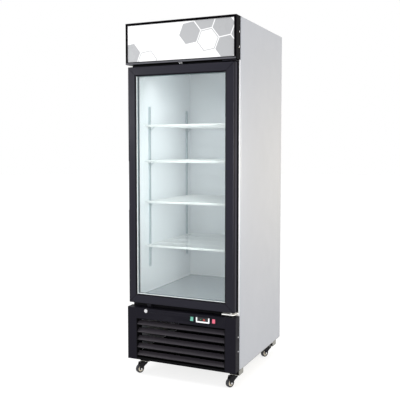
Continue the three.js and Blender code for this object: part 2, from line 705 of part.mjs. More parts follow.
function ring(half, bottom, top, width, y0, y1) {
  const hole = rectangle(-half + width, half - width, bottom + width, top - width);
  return carriedY(rectangle(-half, half, bottom, top), y0, y1, [hole]);
}
const spacerFront = glass.frontY + glass.thickness + gap;
const spacerBack = glass.rearY - gap;
const spacer = ring(paneX - 1, paneBottom + 1, paneTop - 1, glass.spacerWidth, spacerFront, spacerBack);
place(doorGroup, "glass_spacer", spacer, "galvanised");
const gasketFront = faceY + door.depth + gap;
const gasketBack = faceY + frontDepth - gap;
const gasketRing = ring(gasket.outer, gasket.bottom, gasket.top, gasket.width, gasketFront, gasketBack);
place(doorGroup, "door_gasket", gasketRing, "rubberBlack");

// ---------- hinge brackets ----------
function hingeBracket(plateZ, thickness, pinFrom, pinTo) {
  const outline = [
    [259, faceY + 4],
    [263, faceY],
    [328, faceY],
    [336, faceY + 8],
    [336, faceY + frontDepth],
    [259, faceY + frontDepth],
  ];
  const plate = raised(outline, plateZ, plateZ + thickness);
  return join(plate, rod("z", hinge.pinRadius, pinAt, pinFrom, pinTo));
}
const lowerPlate = 424;
const lowerBracket = join(
  hingeBracket(lowerPlate, 4, lowerPlate + 1, door.bottom + hinge.pinReach),
  block(259, 336, faceY + 58, faceY + frontDepth, base.top + 1, lowerPlate + 4),
);
place(cabinet, "hinge_bracket_bottom", lowerBracket, "chrome");
const upperPlate = door.top + 5;
const upperBracket = hingeBracket(upperPlate, 4, door.top - hinge.pinReach, upperPlate + 2);
place(cabinet, "hinge_bracket_top", upperBracket, "chrome");

// ---------- casters ----------
// A swivelling fork: a bearing cap, two legs and the axle, around a stem at the origin.
function casterFork() {
  const { wheelRadius, wheelWidth, axle, trailX, trailY, plateZ } = caster;
  const trail = Math.hypot(trailX, trailY);
  const legX = wheelWidth / 2 + 1.2;
  const cap = rod("z", 19, [0, 0], plateZ - 9, plateZ - gap, 28);
  const bridge = block(-legX - 2.4, legX + 2.4, -18, trail + 4, plateZ - 13, plateZ - 8);
  const legs = [-1, 1].map((s) => {
    const outline = [
      [trail - 9, wheelRadius],
      [trail - 5, wheelRadius - 8],
      [trail + 5, wheelRadius - 8],
      [trail + 9, wheelRadius],
      [trail + 4, plateZ - 9],
      [-16, plateZ - 9],
      [-14, plateZ - 20],
    ];
    return carriedX(outline, s > 0 ? legX : -legX - 2.4, s > 0 ? legX + 2.4 : -legX);
  });
  const axleRod = rod("x", axle, [trail, wheelRadius], -legX - 3.6, legX + 3.6, 16);
  return join(cap, bridge, ...legs, axleRod);
}

// A tyre with a round tread, turned about the axle.
function casterWheel() {
  const { wheelRadius: r, wheelWidth: w, bore } = caster;
  const half = w / 2;
  const profile = [
    [bore, -half],
    [r - 8, -half],
    [r - 7, -half + 2],
    [r - 2, -half + 2.5],
    [r, -half + 6],
    [r, half - 6],
    [r - 2, half - 2.5],
    [r - 7, half - 2],
    [r - 8, half],
    [bore, half],
  ];
  const trail = Math.hypot(caster.trailX, caster.trailY);
  return turned(profile, 20).rotateY(Math.PI / 2).translate(0, trail, r);
}

const heading = Math.atan2(caster.trailY, caster.trailX) - Math.PI / 2;
for (const [name, [x, y]] of Object.entries(casterStems)) {
  const swivel = new THREE.Group();
  swivel.position.set(x, y, 0);
  swivel.rotation.z = heading;
  fridge.add(swivel);
  place(swivel, `caster_fork_${name}`, casterFork(), "blackSatin");
  place(swivel, `caster_wheel_${name}`, casterWheel(), "wheelGrey");
}

export default fridge;
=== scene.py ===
"""A single glass door merchandiser refrigerator: its looks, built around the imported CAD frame.

Lengths in this script are in millimetres until piece() turns them into metres.
"""

import json
import math

import bmesh
import bpy
from mathutils import Matrix, Vector


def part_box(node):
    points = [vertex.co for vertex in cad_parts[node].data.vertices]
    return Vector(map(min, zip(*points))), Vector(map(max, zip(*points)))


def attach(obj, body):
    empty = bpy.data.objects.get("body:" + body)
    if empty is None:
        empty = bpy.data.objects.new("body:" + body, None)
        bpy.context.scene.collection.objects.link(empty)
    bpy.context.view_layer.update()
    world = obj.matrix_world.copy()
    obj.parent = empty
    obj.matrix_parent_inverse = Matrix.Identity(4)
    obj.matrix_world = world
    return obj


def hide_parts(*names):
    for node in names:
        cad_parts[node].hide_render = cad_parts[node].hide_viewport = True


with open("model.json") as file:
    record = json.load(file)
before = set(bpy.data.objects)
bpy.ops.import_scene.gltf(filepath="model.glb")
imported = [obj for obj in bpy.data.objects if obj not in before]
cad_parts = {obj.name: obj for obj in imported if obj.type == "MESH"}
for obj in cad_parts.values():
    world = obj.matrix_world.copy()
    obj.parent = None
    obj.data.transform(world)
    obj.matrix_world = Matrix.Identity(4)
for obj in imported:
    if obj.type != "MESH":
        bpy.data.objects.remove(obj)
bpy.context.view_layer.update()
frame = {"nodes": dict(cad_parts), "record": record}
scene = bpy.context.scene

BODY_OF = {n: b for b, nodes in frame["record"]["behaviour"]["bodies"].items() for n in nodes}


M_TO_MM, MM_TO_M = 1000, 0.001


def corners(node):
    """The node's lowest and highest corners, in millimetres."""
    low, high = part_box(node)
    return low * M_TO_MM, high * M_TO_MM


FRONT = corners("header_frame")[0].y  # front plane of the header, the door and the base
SIDE = corners("side_panel_right")[1].x  # outer face of the right side panel


# ---------- materials ----------
COAT_ROUGHNESS = 0.08
LEAST_ROUGHNESS = 0.02
WEAR_SCALE, SMUDGE_SCALE, SPANGLE_SCALE, SMEAR_SCALE = 45.0, 9.0, 70.0, 3.0
GLASS_SMEAR = (0.012, 0.03)
GLASS_RISE, GLASS_GAIN = 3.0, 0.6
GLASS_ROUGHNESS = 0.03


def add_node(tree, kind, inputs=(), **settings):
    """A shader node; an input is either a value or the socket that feeds it."""
    node = tree.nodes.new(kind)
    for key, value in settings.items():
        setattr(node, key, value)
    for key, value in dict(inputs).items():
        if isinstance(value, bpy.types.NodeSocket):
            tree.links.new(value, node.inputs[key])
        else:
            node.inputs[key].default_value = value
    return node


def math_node(tree, operation, *values):
    return add_node(tree, "ShaderNodeMath", dict(enumerate(values)), operation=operation).outputs[0]


def noise(tree, scale, detail=3.0, stretch=(1, 1, 1)):
    """A noise value from 0 to 1 over the surface."""
    place = add_node(tree, "ShaderNodeTexCoord").outputs["Object"]
    if tuple(stretch) != (1, 1, 1):
        place = add_node(tree, "ShaderNodeMapping", {"Vector": place, "Scale": stretch}).outputs[0]
    inputs = {"Vector": place, "Scale": scale, "Detail": detail}
    return add_node(tree, "ShaderNodeTexNoise", inputs).outputs[0]


def spread(tree, value, low, high, from_low=0.3, from_high=0.7):
    """The value with from_low to from_high stretched over low to high."""
    inputs = {"Value": value, "From Min": from_low, "From Max": from_high, "To Min": low, "To Max": high}
    return add_node(tree, "ShaderNodeMapRange", inputs).outputs[0]


def mixed(tree, share, first, second):
    """The first colour, with a share of the second."""
    node = add_node(tree, "ShaderNodeMix", {0: share, 6: first, 7: second}, data_type="RGBA")
    return node.outputs[2]


def rgba(color, gain=1.0):
    """A colour with a gain, never above white."""
    return (*(min(1.0, c * gain) for c in color), 1.0)


def surface(name, color, roughness, metallic=0.0, specular=0.5, coat=0.0, tone=0.04, tone_scale=2.5,
            stretch=(1, 1, 1), grain_scale=420.0, grain=0.1, grain_depth=0.05, sheen_spread=0.05,
            worn=None, worn_share=0.6, glow=None):
    """A Principled material with drifting tone, uneven roughness, a fine grain and worn edges."""
    material = bpy.data.materials.new(name)
    material.use_nodes = True
    tree = material.node_tree
    shader = tree.nodes["Principled BSDF"]
    shader.inputs["Metallic"].default_value = metallic
    shader.inputs["Specular IOR Level"].default_value = specular
    shader.inputs["Coat Weight"].default_value = coat
    shader.inputs["Coat Roughness"].default_value = COAT_ROUGHNESS
    drift = spread(tree, noise(tree, tone_scale, 4.0, stretch), 0.0, 1.0)
    base = mixed(tree, drift, rgba(color, 1 - tone), rgba(color, 1 + tone))
    if worn:
        edge = add_node(tree, "ShaderNodeAttribute", attribute_name="edge").outputs["Fac"]
        patch = spread(tree, noise(tree, WEAR_SCALE), 0.2, 1.0, 0.4, 0.6)
        share = math_node(tree, "MULTIPLY", edge, patch)
        share = math_node(tree, "MULTIPLY", share, worn_share)
        base = mixed(tree, share, base, rgba(worn))
    tree.links.new(base, shader.inputs["Base Color"])
    smudge = noise(tree, SMUDGE_SCALE, 5.0, stretch)
    smooth, dull = max(LEAST_ROUGHNESS, roughness - sheen_spread), min(1.0, roughness + sheen_spread)
    rough = spread(tree, smudge, smooth, dull)
    tree.links.new(rough, shader.inputs["Roughness"])
    height = noise(tree, grain_scale, 2.0, stretch)
    bump_inputs = {"Height": height, "Strength": grain, "Distance": grain_depth / M_TO_MM}
    tree.links.new(add_node(tree, "ShaderNodeBump", bump_inputs).outputs[0], shader.inputs["Normal"])
    if glow:
        shader.inputs["Emission Color"].default_value = rgba(glow[0])
        shader.inputs["Emission Strength"].default_value = glow[1]
    return material


def galvanised(name, color):
    """Zinc-plated sheet with faint spangles."""
    material = surface(name, color, 0.42, metallic=0.75, tone=0.05, grain=0.06)
    tree = material.node_tree
    shader = tree.nodes["Principled BSDF"]
    place = add_node(tree, "ShaderNodeTexCoord").outputs["Object"]
    cells = add_node(tree, "ShaderNodeTexVoronoi", {"Vector": place, "Scale": SPANGLE_SCALE}).outputs["Color"]
    grey = add_node(tree, "ShaderNodeRGBToBW", {"Color": cells}).outputs[0]
    base = mixed(tree, spread(tree, grey, 0.0, 1.0, 0.2, 0.8), rgba(color, 0.9), rgba(color, 1.08))
    tree.links.new(base, shader.inputs["Base Color"])
    tree.links.new(spread(tree, grey, 0.34, 0.5, 0.2, 0.8), shader.inputs["Roughness"])
    return material


def glass(name, tint):
    """Clear glass: what is behind shows through, with a reflection that grows at shallow angles."""
    material = bpy.data.materials.new(name)
    material.use_nodes = True
    tree = material.node_tree
    tree.nodes.remove(tree.nodes["Principled BSDF"])
    shallow = add_node(tree, "ShaderNodeLayerWeight", {"Blend": 0.5}).outputs["Facing"]
    rise = math_node(tree, "POWER", shallow, GLASS_RISE)
    smear = spread(tree, noise(tree, SMEAR_SCALE, 4.0), *GLASS_SMEAR)
    share = math_node(tree, "MULTIPLY_ADD", rise, GLASS_GAIN, smear)
    clear = add_node(tree, "ShaderNodeBsdfTransparent", {"Color": rgba(tint)}).outputs[0]
    shine = {"Color": (1, 1, 1, 1), "Roughness": GLASS_ROUGHNESS}
    mirror = add_node(tree, "ShaderNodeBsdfGlossy", shine).outputs[0]
    both = add_node(tree, "ShaderNodeMixShader", {0: share, 1: clear, 2: mirror}).outputs[0]
    tree.links.new(both, tree.nodes["Material Output"].inputs["Surface"])
    return material


def linear(text):
    """A colour written as a hex sRGB value, in linear numbers."""
    values = [int(text[i : i + 2], 16) / 255 for i in (0, 2, 4)]
    return [v / 12.92 if v <= 0.04045 else ((v + 0.055) / 1.055) ** 2.4 for v in values]


WHITE_STEEL = surface("white_steel", linear("a5a8af"), 0.42, specular=0.25, tone=0.012, grain_scale=260,
                      grain=0.08, worn=linear("dfe1e6"), worn_share=0.5)
# A lighter copy of the white steel for the side panels' front-facing faces: a painted highlight from the
# front light.
SIDE_FRONT_PAINTED_HIGHLIGHT = surface("white_steel_painted_highlight", linear("dcdcde"), 0.35, specular=0.4, tone=0.01, grain=0.04)
LINER = surface("white_liner", linear("edf0f3"), 0.4, specular=0.45, tone=0.02, tone_scale=1.6,
                grain_scale=180, grain=0.05)
ZINC = galvanised("galvanised", linear("c3c6ca"))
# A darker copy of the galvanised finish for the chassis: painted shade under the cabinet.
CHASSIS_PAINTED_SHADE = galvanised("chassis_zinc_painted_shade", linear("8b8a84"))
BLACK_PANEL = surface("black_panel", linear("19181e"), 0.38, specular=0.025, tone=0.06, grain=0.05,
                      worn=linear("4a494f"), worn_share=0.5)
HEADER_BLACK = surface("header_black", linear("060507"), 0.22, specular=0.012, tone=0.08, grain=0.04,
                       worn=linear("1c1b1f"), worn_share=0.3)
# Grey for a strip along the header's lower front edge: a painted reflection of the floor.
HEADER_LIP_PAINTED_REFLECTION = surface("header_lip_painted_reflection", linear("4c4c51"), 0.4, specular=0.1, tone=0.05, stretch=(1, 20, 20),
                     grain=0.06)
BLACK_PLASTIC = surface("black_plastic", linear("17171a"), 0.5, specular=0.12, tone=0.08, grain=0.12,
                        grain_scale=600, worn=linear("2c2c30"), worn_share=0.3)
# Black of the louvre grille, also laid as painted shade on the chassis tops and the condenser coil.
GRILLE_BLACK_AND_PAINTED_SHADE = surface("grille_black_and_painted_shade", linear("08080a"), 0.6, specular=0.04, tone=0.1, grain=0.1)
# A lighter copy of the grille's black for the slats' up-facing faces: painted light from above.
SLAT_PAINTED_TOP_LIGHT = surface("slat_painted_top_light", linear("302d32"), 0.34, specular=0.3, tone=0.12, tone_scale=1.0,
               stretch=(1, 60, 60), grain=0.05, grain_scale=300)
DOOR_FRAME = surface("door_frame", linear("14131d"), 0.36, specular=0.18, tone=0.06, grain=0.1,
                     grain_scale=700, worn=linear("060509"), worn_share=0.9)
# A lighter, less glossy copy of the frame finish for the door's outer side: a painted sheen in place of its
# reflection.
DOOR_SIDE_PAINTED_SHEEN = surface("door_side_painted_sheen", linear("2a2932"), 0.45, specular=0.04, tone=0.06, grain=0.1, grain_scale=700)
# A dark copy of the frame finish for the frame's inner chamfer and the front strip of its outer side: painted
# shade.
DOOR_FRAME_PAINTED_SHADE = surface("door_frame_painted_shade", linear("0e0e13"), 0.6, specular=0.06, tone=0.1, grain=0.1, grain_scale=600)
GASKET = surface("gasket_rubber", linear("161618"), 0.75, specular=0.2, tone=0.12, grain=0.2)
GLASS = glass("door_glass", [0.984, 0.994, 0.992])
# The spacer's front faces glow a little though nothing lights them from inside: painted light.
SPACER_PAINTED_GLOW = surface("spacer_aluminium", linear("eceff0"), 0.3, metallic=0.1, tone=0.03, stretch=(1, 20, 1),
                 glow=((1, 1, 1), 0.35))
# A darker copy of the spacer aluminium: painted shade.
SPACER_PAINTED_SHADE = surface("spacer_painted_shade", linear("5b6b6f"), 0.4, specular=0.2, tone=0.05)
SIGN = surface("sign_acrylic", linear("d2d2d3"), 0.22, specular=0.3, tone=0.005, grain=0.02,
               glow=((1, 1, 1), 0.06))
PRINT = surface("sign_print", linear("999a9c"), 0.3, specular=0.2, tone=0.015, grain=0.03)
DIFFUSER = surface("lamp_diffuser", linear("f6f6f6"), 0.45, tone=0.01, grain=0.08, glow=((1, 1, 1), 0.6))
NICKEL = surface("nickel", linear("f2f1ef"), 0.4, metallic=0.15, specular=0.5, tone=0.03, grain=0.05)
CHROME = surface("chrome", linear("dcdcdf"), 0.14, metallic=1.0, tone=0.03, grain=0.04, sheen_spread=0.04)
SHELF_WIRE = surface("shelf_wire", linear("f8fafa"), 0.32, specular=0.5, tone=0.02, grain=0.1)
STANDARD = surface("shelf_standard", linear("b9c3c8"), 0.38, metallic=0.3, specular=0.4, tone=0.05,
                   grain=0.08, worn=linear("dfe6ea"))
CLIP = surface("shelf_clip", linear("a9b4b9"), 0.35, metallic=0.3, specular=0.5, tone=0.04, grain=0.08)
SEALANT = surface("floor_sealant", linear("7f8686"), 0.6, specular=0.2, tone=0.12)
# Dark colour for the inside of the clip slots: painted shade.
SLOT_PAINTED_SHADE = surface("slot_painted_shade", linear("5b646a"), 0.6, specular=0.2, tone=0.1)
FOAM = surface("foam", linear("d9cfa0"), 0.95, specular=0.1, tone=0.12, tone_scale=30, grain=0.7,
               grain_scale=220, grain_depth=0.6)
COIL = surface("coil_metal", linear("c2c4c6"), 0.35, metallic=0.9, tone=0.08, grain=0.1)
SHELL = surface("compressor_shell", linear("141416"), 0.32, specular=0.4, tone=0.12, grain=0.15)
GREEN = surface("green_lens", linear("5c9c8b"), 0.3, specular=0.3, coat=0.1, tone=0.04,
                glow=(linear("5c9c8b"), 0.06))
RED = surface("red_lens", linear("c65a70"), 0.3, specular=0.3, coat=0.1, tone=0.04,
              glow=(linear("c65a70"), 0.08))
TYRE = surface("caster_tyre", linear("2e2e31"), 0.55, specular=0.35, tone=0.15, grain=0.3,
               worn=linear("55555a"))
HUB = surface("caster_hub", linear("cfc8b8"), 0.4, specular=0.4, tone=0.08, grain=0.2)
BEZEL = surface("display_bezel", linear("e2e3e6"), 0.35, metallic=0.15, tone=0.03)
SCREEN = surface("display_window", linear("08080a"), 0.08, specular=0.5, tone=0.1, grain=0.01)
DIGIT = surface("display_digit", linear("c43a34"), 0.4, tone=0.02, glow=(linear("d83a30"), 0.7))
SPARK = surface("display_light", linear("2f9c58"), 0.4, tone=0.02, glow=(linear("2aa055"), 0.6))
FLOOR_SHEET = surface("floor_sheet", linear("bac0c5"), 0.2, metallic=0.25, specular=0.5, tone=0.03,
                      grain=0.05)
STUDIO_FLOOR = surface("studio_floor", (0.3, 0.3, 0.3), 0.8, specular=0.0, tone=0.002, glow=((1, 1, 1), 0.76))


# ---------- mesh tools ----------
WELD, FLAT_DEGREES = 0.004, 0.6
BEVEL_PROFILE = 0.6
SCREW_RINGS, SCREW_SEGMENTS = 7, 24
SCREW_CROWN = 0.9
RECESS_REACH, RECESS_HALF, RECESS_DEPTH = 0.62, 0.16, 0.55  # shares of a screw's radius and height


def piece(name, bm, material, body, stands_for=(), sharp=38.0, weighted=True):
    """Closes a mesh built in millimetres into a named piece that rides on a CAD body."""
    bmesh.ops.scale(bm, vec=(MM_TO_M, MM_TO_M, MM_TO_M), verts=bm.verts)
    bmesh.ops.recalc_face_normals(bm, faces=bm.faces)
    mesh = bpy.data.meshes.new(name)
    bm.to_mesh(mesh)
    bm.free()
    for one in material if isinstance(material, (list, tuple)) else [material]:
        mesh.materials.append(one)
    mesh.shade_smooth()
    mesh.set_sharp_from_angle(angle=math.radians(sharp))
    obj = bpy.data.objects.new(name, mesh)
    scene.collection.objects.link(obj)
    if weighted:
        modifier = obj.modifiers.new("weighted_normals", "WEIGHTED_NORMAL")
        modifier.keep_sharp = True
    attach(obj, body)
    if stands_for:
        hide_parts(*stands_for)


def new_mesh():
    """An empty mesh with the layer that marks worn edges."""
    bm = bmesh.new()
    bm.faces.layers.float.new("edge")
    return bm


def soften(bm, edges, width, segments=2):
    """Bevels edges and marks the new faces, where paint wears first."""
    if not edges or width <= 0:
        return
    layer = bm.faces.layers.float["edge"]
    made = bmesh.ops.bevel(bm, geom=edges, offset=width, segments=segments, profile=BEVEL_PROFILE,
                           affect="EDGES", clamp_overlap=True)
    for face in made["faces"]:
        face[layer] = 1.0


def sharp_edges(edges, angle=25.0):
    """Edges where two faces meet at more than an angle in degrees."""
    return [e for e in edges if len(e.link_faces) == 2 and e.calc_face_angle(0) > math.radians(angle)]


def paint(bm, index, test):
    """Gives a material index to the faces that a test picks."""
    for face in bm.faces:
        if test(face):
            face.material_index = index


def cad_mesh(node):
    """The CAD node's own shape as clean faces, in millimetres."""
    bm = bmesh.new()
    bm.from_mesh(frame["nodes"][node].data)
    for layer in list(bm.loops.layers.uv):
        bm.loops.layers.uv.remove(layer)
    bm.faces.layers.float.new("edge")
    bmesh.ops.scale(bm, vec=(M_TO_MM, M_TO_MM, M_TO_MM), verts=bm.verts)
    bmesh.ops.remove_doubles(bm, verts=bm.verts, dist=WELD)
    bmesh.ops.dissolve_limit(bm, angle_limit=math.radians(FLAT_DEGREES), verts=bm.verts, edges=bm.edges)
    return bm


def refined(node, material, width, segments=2, angle=25.0):
    """Stands for a CAD node with the same shape and rounded edges."""
    bm = cad_mesh(node)
    soften(bm, sharp_edges(bm.edges, angle), width, segments)
    piece(f"{node}_skin", bm, material, BODY_OF[node], [node])


def add_box(bm, low, high, width=0.0, segments=2):
    """A box between two corners, with its edges rounded."""
    made = bmesh.ops.create_cube(bm, size=1)["verts"]
    size = [b - a for a, b in zip(low, high)]
    bmesh.ops.scale(bm, vec=size, verts=made)
    bmesh.ops.translate(bm, vec=[(a + b) / 2 for a, b in zip(low, high)], verts=made)
    soften(bm, list({e for v in made for e in v.link_edges}), width, segments)


def add_loops(bm, loops, closed_path=False):
    """Skins a row of equal closed loops of points, and caps the ends of an open row."""
    rows = [[bm.verts.new(p) for p in loop] for loop in loops]
    pairs = list(zip(rows, rows[1:])) + ([(rows[-1], rows[0])] if closed_path else [])
    count = len(rows[0])
    for a, b in pairs:
        for i in range(count):
            j = (i + 1) % count
            bm.faces.new((a[i], a[j], b[j], b[i]))
    if not closed_path:
        bm.faces.new(reversed(rows[0]))
        bm.faces.new(rows[-1])


def add_tube(bm, points, radius, sides=10, closed=False):
    """A round rod along a line of points."""
    points = [Vector(p) for p in points]
    loops = []
    side = None
    for i, point in enumerate(points):
        before = points[i - 1] if i or closed else point
        after = points[(i + 1) % len(points)] if i < len(points) - 1 or closed else point
        along = (after - before).normalized()
        if side is None:
            side = along.orthogonal().normalized()
        side = (side - along * side.dot(along)).normalized()
        other = along.cross(side)
        turn = [2 * math.pi * k / sides for k in range(sides)]
        loops.append([point + (side * math.cos(t) + other * math.sin(t)) * radius for t in turn])
    add_loops(bm, loops, closed)


def skin_rings(bm, rings, segments):
    """Faces between rings of points; a ring of one point closes into a fan."""
    for a, b in zip(rings, rings[1:]):
        for i in range(segments):
            j = (i + 1) % segments
            unique = list(dict.fromkeys([a[i % len(a)], a[j % len(a)], b[j % len(b)], b[i % len(b)]]))
            if len(unique) > 2:
                bm.faces.new(unique)


def add_lathe(bm, profile, matrix, segments):
    """A turned form about local Z from [radius, height] points; a radius of 0 closes the end."""
    rings = []
    for r, h in profile:
        count = 1 if r == 0 else segments
        angles = [2 * math.pi * k / segments for k in range(count)]
        rings.append([bm.verts.new(matrix @ Vector((r * math.cos(t), r * math.sin(t), h))) for t in angles])
    skin_rings(bm, rings, segments)


def add_prism(bm, outline, depth, matrix, width=0.0, segments=2):
    """A flat outline in local X and Y, raised along local Z."""
    low = [bm.verts.new(matrix @ Vector((x, y, 0))) for x, y in outline]
    high = [bm.verts.new(matrix @ Vector((x, y, depth))) for x, y in outline]
    count = len(outline)
    faces = [bm.faces.new(list(reversed(low))), bm.faces.new(high)]
    for i in range(count):
        j = (i + 1) % count
        faces.append(bm.faces.new((low[i], low[j], high[j], high[i])))
    rim = list({e for f in faces[:2] for e in f.edges})
    soften(bm, rim, width, segments)


def add_ring(bm, profile, half, bottom, top):
    """A mitred rectangular ring: profile points are [inward, y]."""
    signs = [(-1, 0), (1, 0), (1, 1), (-1, 1)]
    loops = []
    for sx, up in signs:
        loops.append([Vector((sx * (half - i), y, top - i if up else bottom + i)) for i, y in profile])
    add_loops(bm, loops, closed_path=True)


def facing(point, axis):
    """A matrix that puts local Z along axis at point."""
    return Matrix.Translation(point) @ Vector(axis).to_track_quat("Z", "Y").to_matrix().to_4x4()


def outward_plane(y):
    """A matrix that turns local X and Y to X and Z at a depth, with local Z towards the front."""
    return Matrix(((1, 0, 0, 0), (0, 0, -1, y), (0, 1, 0, 0), (0, 0, 0, 1)))


def add_screw(bm, point, axis, radius, height, turn):
    """A pan-head screw with a cross recess."""
    matrix = facing(point, axis) @ Matrix.Rotation(turn, 4, "Z")
    slot = radius * RECESS_HALF
    angles = [2 * math.pi * i / SCREW_SEGMENTS for i in range(SCREW_SEGMENTS)]
    rows = []
    for k in range(SCREW_RINGS + 1):
        r = radius * k / SCREW_RINGS
        row = []
        for t in angles[:1] if k == 0 else angles:
            x, y = r * math.cos(t), r * math.sin(t)
            h = height * math.sqrt(max(0.0, 1 - (r / radius) ** 2 * SCREW_CROWN))
            if r < radius * RECESS_REACH and (abs(x) < slot or abs(y) < slot):
                h -= height * RECESS_DEPTH
            row.append(bm.verts.new(matrix @ Vector((x, y, h))))
        rows.append(row)
    foot = [Vector((radius * math.cos(t), radius * math.sin(t), 0)) for t in angles]
    rows.append([bm.verts.new(matrix @ spot) for spot in foot])
    skin_rings(bm, rows, SCREW_SEGMENTS)
    bm.faces.new(list(reversed(rows[-1])))


# ---------- cabinet shell ----------
BACK_SCREW_EDGE = 28  # from the side faces
BACK_SCREW_ROWS = (470, 820, 1180, 1540, 1900, 2035)
LOW_BACK_SCREW_ROWS = (118, 420)
LOW_BACK_SCREW_COLUMNS = (-312, -105, 105, 312)
SIDE_SCREWS = ((45, 1969), (45, 1889), (42, 295.5), (42, 215))  # depth behind the front, height
BACK_SCREW_RADIUS, SIDE_SCREW_RADIUS, SHEET_SCREW_HEIGHT = 4.2, 4.6, 1.8

for node in ("side_panel_left", "side_panel_right"):
    bm = cad_mesh(node)
    # Front-facing faces get the lighter copy: a painted highlight.
    paint(bm, 1, lambda face: face.normal.y < -0.35)
    soften(bm, sharp_edges(bm.edges), 0.35, 1)
    piece(f"{node}_skin", bm, [WHITE_STEEL, SIDE_FRONT_PAINTED_HIGHLIGHT], "cabinet", [node])
refined("top_panel", WHITE_STEEL, 0.5)
refined("back_panel", ZINC, 0.4)
refined("rear_guard", ZINC, 0.3, 1)
bm = cad_mesh("chassis")
# Up-facing chassis faces get the black: painted shade inside the machine compartment.
paint(bm, 1, lambda face: face.normal.z > 0.5)
soften(bm, sharp_edges(bm.edges), 0.5)
piece("chassis_skin", bm, [CHASSIS_PAINTED_SHADE, GRILLE_BLACK_AND_PAINTED_SHADE], "cabinet", ["chassis"])
refined("insulation_foam", FOAM, 1.0, 1)
refined("front_frame", BLACK_PLASTIC, 0.8)
refined("liner", LINER, 0.9, 3)
refined("cord_inlet", GASKET, 0.6)

back_skin = corners("back_panel")[1].y
screws = new_mesh()
for z in BACK_SCREW_ROWS:
    for x in (-SIDE + BACK_SCREW_EDGE, SIDE - BACK_SCREW_EDGE):
        add_screw(screws, (x, back_skin, z), (0, 1, 0), BACK_SCREW_RADIUS, SHEET_SCREW_HEIGHT, z * 0.7)
for z in LOW_BACK_SCREW_ROWS:
    for x in LOW_BACK_SCREW_COLUMNS:
        add_screw(screws, (x, back_skin, z), (0, 1, 0), BACK_SCREW_RADIUS, SHEET_SCREW_HEIGHT, x * 0.3)
piece("back_screws", screws, CHROME, "cabinet")

screws = new_mesh()
for side in (-1, 1):
    for y, z in SIDE_SCREWS:
        place = (side * (SIDE + 0.05), FRONT + y, z)
        add_screw(screws, place, (side, 0, 0), SIDE_SCREW_RADIUS, SHEET_SCREW_HEIGHT, z)
piece("side_screws", screws, CHROME, "cabinet")


# ---------- interior ----------
RIM_ROD, FRONT_ROD, LOW_ROD, CROSS_ROD, FINE_ROD = 3.0, 3.2, 2.3, 2.4, 1.8  # radii of a shelf's wires
FINE_WIRES = 27
SHELF_TAB = 13.0  # how far the front rod passes the rim
RIM_CORNER = 6.0
STANDARD_HALF, STANDARD_DEEP = 7.0, 10.0
CLIP_SLOT_HALF, CLIP_SLOT_HEIGHT, CLIP_SLOT_PITCH, CLIP_SLOT_DEPTH = 1.9, 11.0, 25.4, 3.0
CLIP_HALF = 40.0
CLIP_ROD, CLIP_BAR_ROD = 1.9, 1.5
TINY = 1e-6


def wire_shelf(node):
    """A coated wire shelf: a rod rim, a doubled front edge, cross rods and close front-to-back wires."""
    low, high = corners(node)
    z = (low.z + high.z) / 2
    bm = new_mesh()
    reach, front, back = high.x, low.y + RIM_ROD, high.y - RIM_ROD
    x = reach - SHELF_TAB
    line = []
    for cx, cy, start in ((x, back, 0), (-x, back, 90), (-x, front, 180), (x, front, 270)):
        mx = cx - math.copysign(RIM_CORNER, cx)
        my = cy - RIM_CORNER if cy == back else cy + RIM_CORNER
        for k in range(5):
            t = math.radians(start + 22.5 * k)
            line.append((mx + RIM_CORNER * math.cos(t), my + RIM_CORNER * math.sin(t), z))
    add_tube(bm, line, RIM_ROD, 12, closed=True)
    add_tube(bm, [(-reach, front, z), (reach, front, z)], FRONT_ROD, 12)
    add_tube(bm, [(-x + 3, front + 2, z - 7), (x - 3, front + 2, z - 7)], LOW_ROD, 10)
    for share in (0.25, 0.5, 0.75):
        y = front + (back - front) * share
        add_tube(bm, [(-x, y, z - 1.2), (x, y, z - 1.2)], CROSS_ROD, 10)
    bend = ((back + 1.5, 3.4), (front + 1, 3.4), (front - 2.6, 2.2), (front - 3.2, -2), (front - 0.6, -8))
    for i in range(FINE_WIRES):
        wx = -x + 2 * x * (i + 1) / (FINE_WIRES + 1)
        add_tube(bm, [(wx, y, z + rise) for y, rise in bend], FINE_ROD, 8)
    piece(f"{node}_wires", bm, SHELF_WIRE, "cabinet", [node], 50, weighted=False)


def slot_stations(bottom, top):
    """Heights that divide a standard at its clip slots, and the rows that hold a slot."""
    stations, slots = [bottom], []
    z = bottom + 12
    while z + CLIP_SLOT_HEIGHT < top - 8:
        slots.append(len(stations))
        stations += [z, z + CLIP_SLOT_HEIGHT]
        z += CLIP_SLOT_PITCH
    return stations + [top], slots


